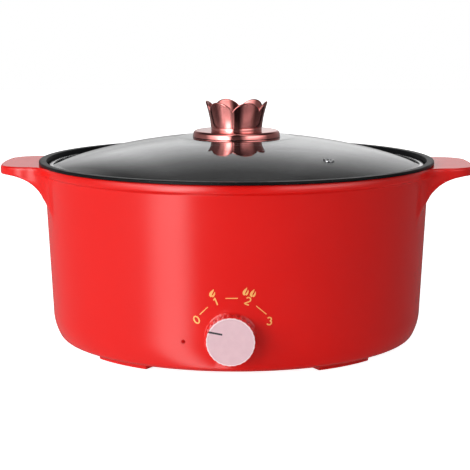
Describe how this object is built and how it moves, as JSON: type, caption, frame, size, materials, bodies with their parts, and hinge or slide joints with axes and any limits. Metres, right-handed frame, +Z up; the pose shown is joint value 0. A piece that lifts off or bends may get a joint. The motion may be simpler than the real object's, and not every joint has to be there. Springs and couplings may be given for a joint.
{
  "type": "electric hot pot",
  "caption": "Round electric hot pot: red casing with side grips, black non-stick pot, rotary heat control and a domed glass lid with a crown-shaped knob.",
  "frame": {"origin": "on the table, under the centre of the pot", "axes": "+Z up, -Y towards the user at the heat control, +X along the grips to the user's right"},
  "size_m": [0.384, 0.33, 0.1977],
  "materials": {
    "red_shell": "glossy moulded red",
    "black_pot": "black non-stick coating",
    "silver_knob": "silver, serrated",
    "face_disc": "satin, pale",
    "dark_print": "matte dark",
    "red_lens": "translucent red",
    "lamp": "clear bulb",
    "lid_glass": "tempered, smoky",
    "steel_band": "polished stainless steel",
    "rose_gold": "rose-gold plating",
    "rubber": "matte",
    "silicone": "translucent grey",
    "steel": "zinc-plated",
    "cast_aluminium": "as cast",
    "element_steel": "heat-tinted",
    "black_plastic": "matte black",
    "white_plastic": "matte off-white",
    "brass": "bright",
    "brown_lead": "insulation, brown",
    "red_lead": "insulation, red",
    "blue_lead": "insulation, blue",
    "green_lead": "insulation, green and yellow",
    "white_lead": "insulation, white"
  },
  "bodies": {
    "pot": {"outer_casing": "red_shell", "inner_pot": "black_pot", "base_cover": "red_shell", "rubber_feet": "rubber", "pot_studs": "steel", "lower_spacers": "steel", "upper_spacers": "steel", "lock_washers": "steel", "stud_washers": "steel", "stud_nuts": "steel", "heating_plate": "cast_aluminium", "heating_element": "element_steel", "heat_shield": "steel", "safety_cutout": "white_plastic", "cutout_screws": "steel", "thermal_fuse": "white_plastic", "fuse_clip": "steel", "fuse_clip_screw": "steel", "thermostat_housing": "black_plastic", "thermostat_cover": "white_plastic", "thermostat_terminals": "brass", "thermostat_bush": "brass", "thermostat_nut": "steel", "indicator_lens": "red_lens", "indicator_lamp": "lamp", "appliance_inlet": "black_plastic", "inlet_pins": "brass", "inlet_screws": "steel", "live_lead": "brown_lead", "switched_lead": "brown_lead", "fuse_feed_lead": "white_lead", "fuse_lead": "white_lead", "element_return_lead": "blue_lead", "neutral_lead": "blue_lead", "earth_lead": "green_lead", "lamp_leads": "red_lead", "terminal_block": "white_plastic", "earth_tag": "brass"},
    "control": {"control_knob": "silver_knob", "knob_face_disc": "face_disc", "knob_pointer": "dark_print", "thermostat_spindle": "steel", "thermostat_cam": "white_plastic"},
    "lid": {"lid_glass": "lid_glass", "lid_rim_band": "steel_band", "steam_vent": "steel_band", "lid_knob_gasket": "silicone", "lid_knob_base": "rose_gold", "lid_knob_crown": "rose_gold", "lid_knob_seal": "silicone", "lid_knob_washer": "steel", "lid_knob_screw": "steel"}
  },
  "joints": [
    {"name": "lid_lift", "type": "slide", "parent": "pot", "child": "lid", "axis": [0, 0, 1], "range_m": [0, 0.15]},
    {"name": "control_turn", "type": "hinge", "parent": "pot", "child": "control", "pos_m": [0, -0.159, 0.0334], "axis": [0, 1, 0], "range_deg": [0, 127]}
  ]
}
